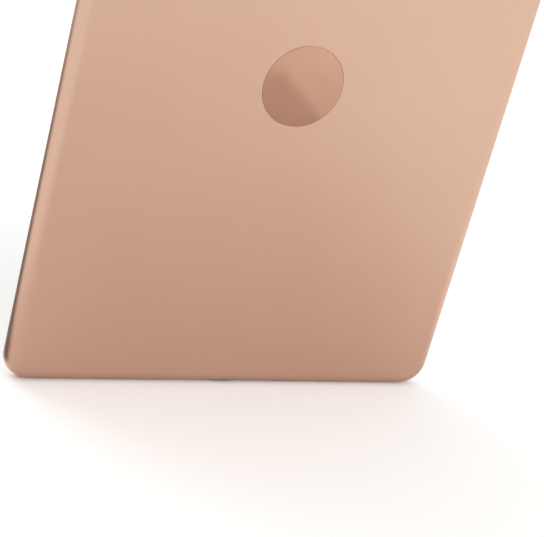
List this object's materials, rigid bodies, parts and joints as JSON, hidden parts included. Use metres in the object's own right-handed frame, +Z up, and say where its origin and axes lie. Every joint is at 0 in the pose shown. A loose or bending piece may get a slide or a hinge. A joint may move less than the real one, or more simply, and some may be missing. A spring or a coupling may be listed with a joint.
{
  "type": "tablet computer",
  "caption": "Thin tablet computer with a one-piece metal back, glass front, home button, sprung side buttons and sockets along its edges.",
  "frame": {"origin": "on the flat back, on its centre line, 28 mm below the middle, where a stand's pad touches", "axes": "+Z up the long side from the bottom edge to the top edge, +Y out of the metal back, +X to the right as seen from the screen's side"},
  "size_m": [0.1699, 0.0069, 0.2405],
  "materials": {
    "rose_aluminium": "bead blasted, anodised rose gold",
    "polished_rose_metal": "polished",
    "cover_glass": "clear, with a white border printed behind it",
    "camera_glass": "coated",
    "flash_lens": "diffusing",
    "sapphire_cap": "polished",
    "black_plastic": "moulded",
    "amber_cable": "polyimide film",
    "circuit_board": "solder mask",
    "steel": "stamped",
    "gold_contacts": "plated",
    "rubber_seal": "soft",
    "display_glass": "polarised",
    "backlight_plastic": "diffusing",
    "battery_pouch": "laminated foil",
    "flash_lamp": "phosphor",
    "sensor_plastic": "tinted",
    "pad_plastic": "moulded",
    "screen_mesh": "woven"
  },
  "bodies": {
    "tablet": {"rear_housing": "rose_aluminium", "rear_emblem": "polished_rose_metal", "camera_ring": "polished_rose_metal", "camera_window": "camera_glass", "camera_body": "black_plastic", "camera_sensor": "circuit_board", "camera_flex": "amber_cable", "flash_window": "flash_lens", "flash_led": "flash_lamp", "rear_microphone": "gold_contacts", "top_microphone": "gold_contacts", "cover_glass": "cover_glass", "display_gasket": "rubber_seal", "display_cell": "display_glass", "backlight": "backlight_plastic", "display_flex": "amber_cable", "home_gasket": "rubber_seal", "home_switch": "steel", "home_bracket": "steel", "home_flex": "amber_cable", "front_camera": "black_plastic", "light_sensor": "sensor_plastic", "power_switch": "steel", "power_bracket": "steel", "volume_switches": "steel", "volume_bracket": "steel", "button_flex": "amber_cable", "battery_left": "battery_pouch", "battery_right": "battery_pouch", "battery_board": "circuit_board", "logic_board": "circuit_board", "processor": "black_plastic", "storage_chips": "black_plastic", "board_shields": "steel", "heat_spreader": "black_plastic", "speaker_upper_left": "black_plastic", "speaker_upper_right": "black_plastic", "speaker_lower_left": "black_plastic", "speaker_lower_right": "black_plastic", "speaker_drivers": "steel", "speaker_screens": "screen_mesh", "charge_port_shell": "steel", "charge_port_contacts": "gold_contacts", "charge_port_flex": "amber_cable", "headphone_jack": "black_plastic", "accessory_pad": "pad_plastic", "accessory_contacts": "gold_contacts", "cover_magnets": "steel", "antenna_left": "black_plastic", "antenna_right": "black_plastic", "screws": "steel"},
    "home_button": {"home_cap": "sapphire_cap", "home_ring": "polished_rose_metal", "fingerprint_sensor": "black_plastic"},
    "power_key": {"power_button": "rose_aluminium"},
    "volume_up_key": {"volume_up_button": "rose_aluminium"},
    "volume_down_key": {"volume_down_button": "rose_aluminium"},
    "focus_lens": {"lens_barrel": "black_plastic"}
  },
  "joints": [
    {"name": "home_press", "type": "slide", "parent": "tablet", "child": "home_button", "axis": [0, 1, 0], "range_m": [0, 0.0003], "stiffness_N_per_m": 4000},
    {"name": "power_press", "type": "slide", "parent": "tablet", "child": "power_key", "axis": [0, 0, -1], "range_m": [0, 0.0003], "stiffness_N_per_m": 5000},
    {"name": "volume_up_press", "type": "slide", "parent": "tablet", "child": "volume_up_key", "axis": [-1, 0, 0], "range_m": [0, 0.0003], "stiffness_N_per_m": 5000},
    {"name": "volume_down_press", "type": "slide", "parent": "tablet", "child": "volume_down_key", "axis": [-1, 0, 0], "range_m": [0, 0.0003], "stiffness_N_per_m": 5000},
    {"name": "lens_focus", "type": "slide", "parent": "tablet", "child": "focus_lens", "axis": [0, 1, 0], "range_m": [0, 0.00025], "stiffness_N_per_m": 400}
  ]
}
